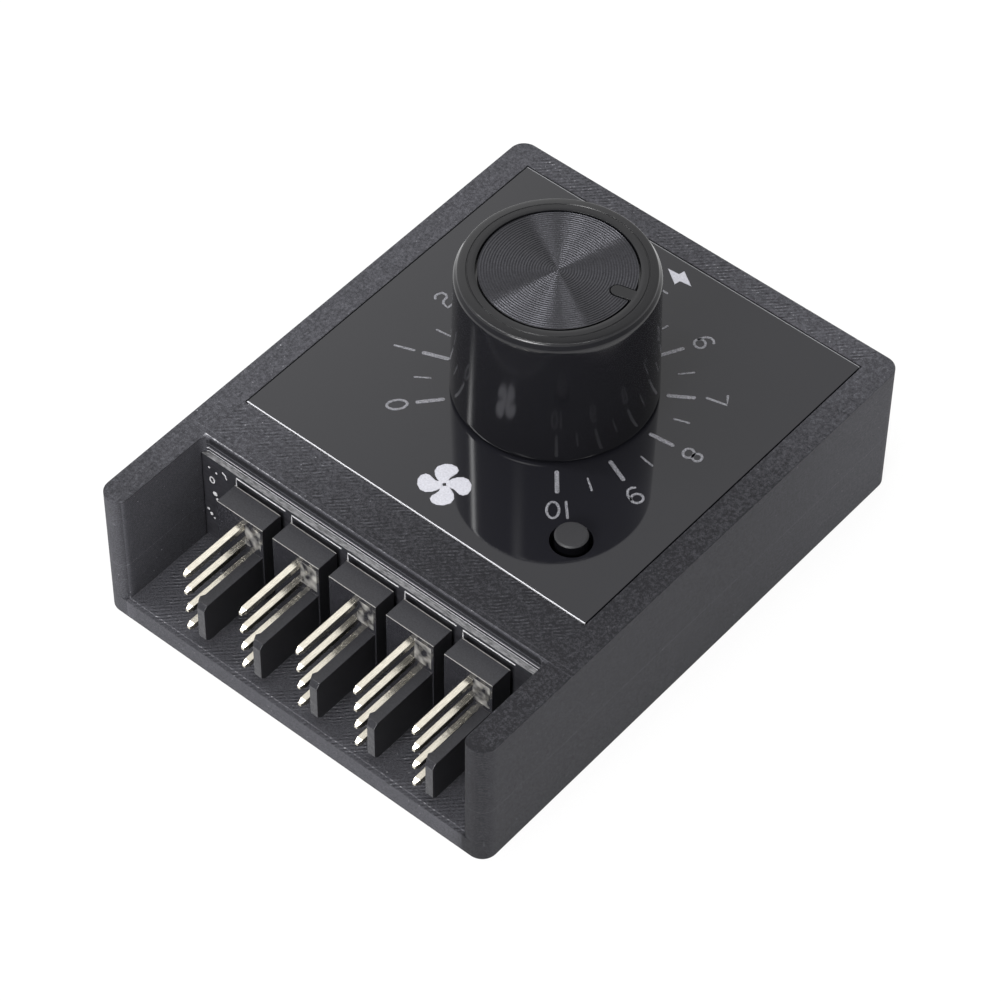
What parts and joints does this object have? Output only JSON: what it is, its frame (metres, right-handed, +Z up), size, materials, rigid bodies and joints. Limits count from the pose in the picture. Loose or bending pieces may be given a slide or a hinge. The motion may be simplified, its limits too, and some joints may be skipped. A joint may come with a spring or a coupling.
{
  "type": "pc fan controller hub",
  "caption": "Small black box with a large speed knob on a dial panel, a push button and a row of fan headers along its open front.",
  "frame": {"origin": "centre of the underside", "axes": "+X along the front to the right, +Y from the open front to the rear, +Z up out of the face panel"},
  "size_m": [0.047, 0.061, 0.0316],
  "materials": {
    "case_print": "black print, matte, fine layer lines",
    "panel_acrylic": "glossy black sheet",
    "knob_gloss": "glossy black moulding",
    "turned_disc": "turned and anodised black",
    "header_nylon": "satin black moulding",
    "plated_pins": "tin plated",
    "circuit_board": "black solder mask on glass fibre",
    "steel": "nickel plated",
    "black_steel": "black oxide",
    "shaft_metal": "turned, bright",
    "pot_moulding": "green moulded case",
    "wafer": "resin laminate",
    "switch_plastic": "satin black",
    "spring_bronze": "bright",
    "chip_plastic": "moulded, dull black",
    "can_metal": "drawn, satin"
  },
  "bodies": {
    "case": {"case_shell": "case_print", "bottom_cover": "case_print", "cover_screws": "black_steel", "face_panel": "panel_acrylic", "pot_body": "pot_moulding", "pot_wafer": "wafer", "pot_bracket": "steel", "pot_bushing": "shaft_metal", "pot_terminals": "plated_pins", "pot_washer": "steel", "pot_nut": "steel", "header_board": "circuit_board", "main_board": "circuit_board", "link_pins": "plated_pins", "fan_header_1": "header_nylon", "header_pins_1": "plated_pins", "fan_header_2": "header_nylon", "header_pins_2": "plated_pins", "fan_header_3": "header_nylon", "header_pins_3": "plated_pins", "fan_header_4": "header_nylon", "header_pins_4": "plated_pins", "fan_header_5": "header_nylon", "header_pins_5": "plated_pins", "power_jack": "header_nylon", "jack_pin": "plated_pins", "jack_contact": "spring_bronze", "switch_body": "switch_plastic", "switch_dome": "steel", "switch_legs": "plated_pins", "filter_capacitor": "can_metal", "regulator": "chip_plastic", "chip_resistors": "chip_plastic", "controller_chip": "chip_plastic", "protection_diode": "chip_plastic", "fuse": "can_metal"},
    "knob": {"knob_body": "knob_gloss", "knob_disc": "turned_disc", "pot_shaft": "shaft_metal", "pot_wiper": "spring_bronze"},
    "button": {"switch_plunger": "switch_plastic"}
  },
  "joints": [
    {"name": "knob_turn", "type": "hinge", "parent": "case", "child": "knob", "pos_m": [0, 0.0073, 0.0165], "axis": [0, 0, 1], "range_deg": [-64.5, 214.5]},
    {"name": "button_press", "type": "slide", "parent": "case", "child": "button", "axis": [0, 0, -1], "range_m": [0, 0.00025], "stiffness_N_per_m": 6400, "springref_m": -0.00002, "deforming": ["switch_dome"]}
  ]
}
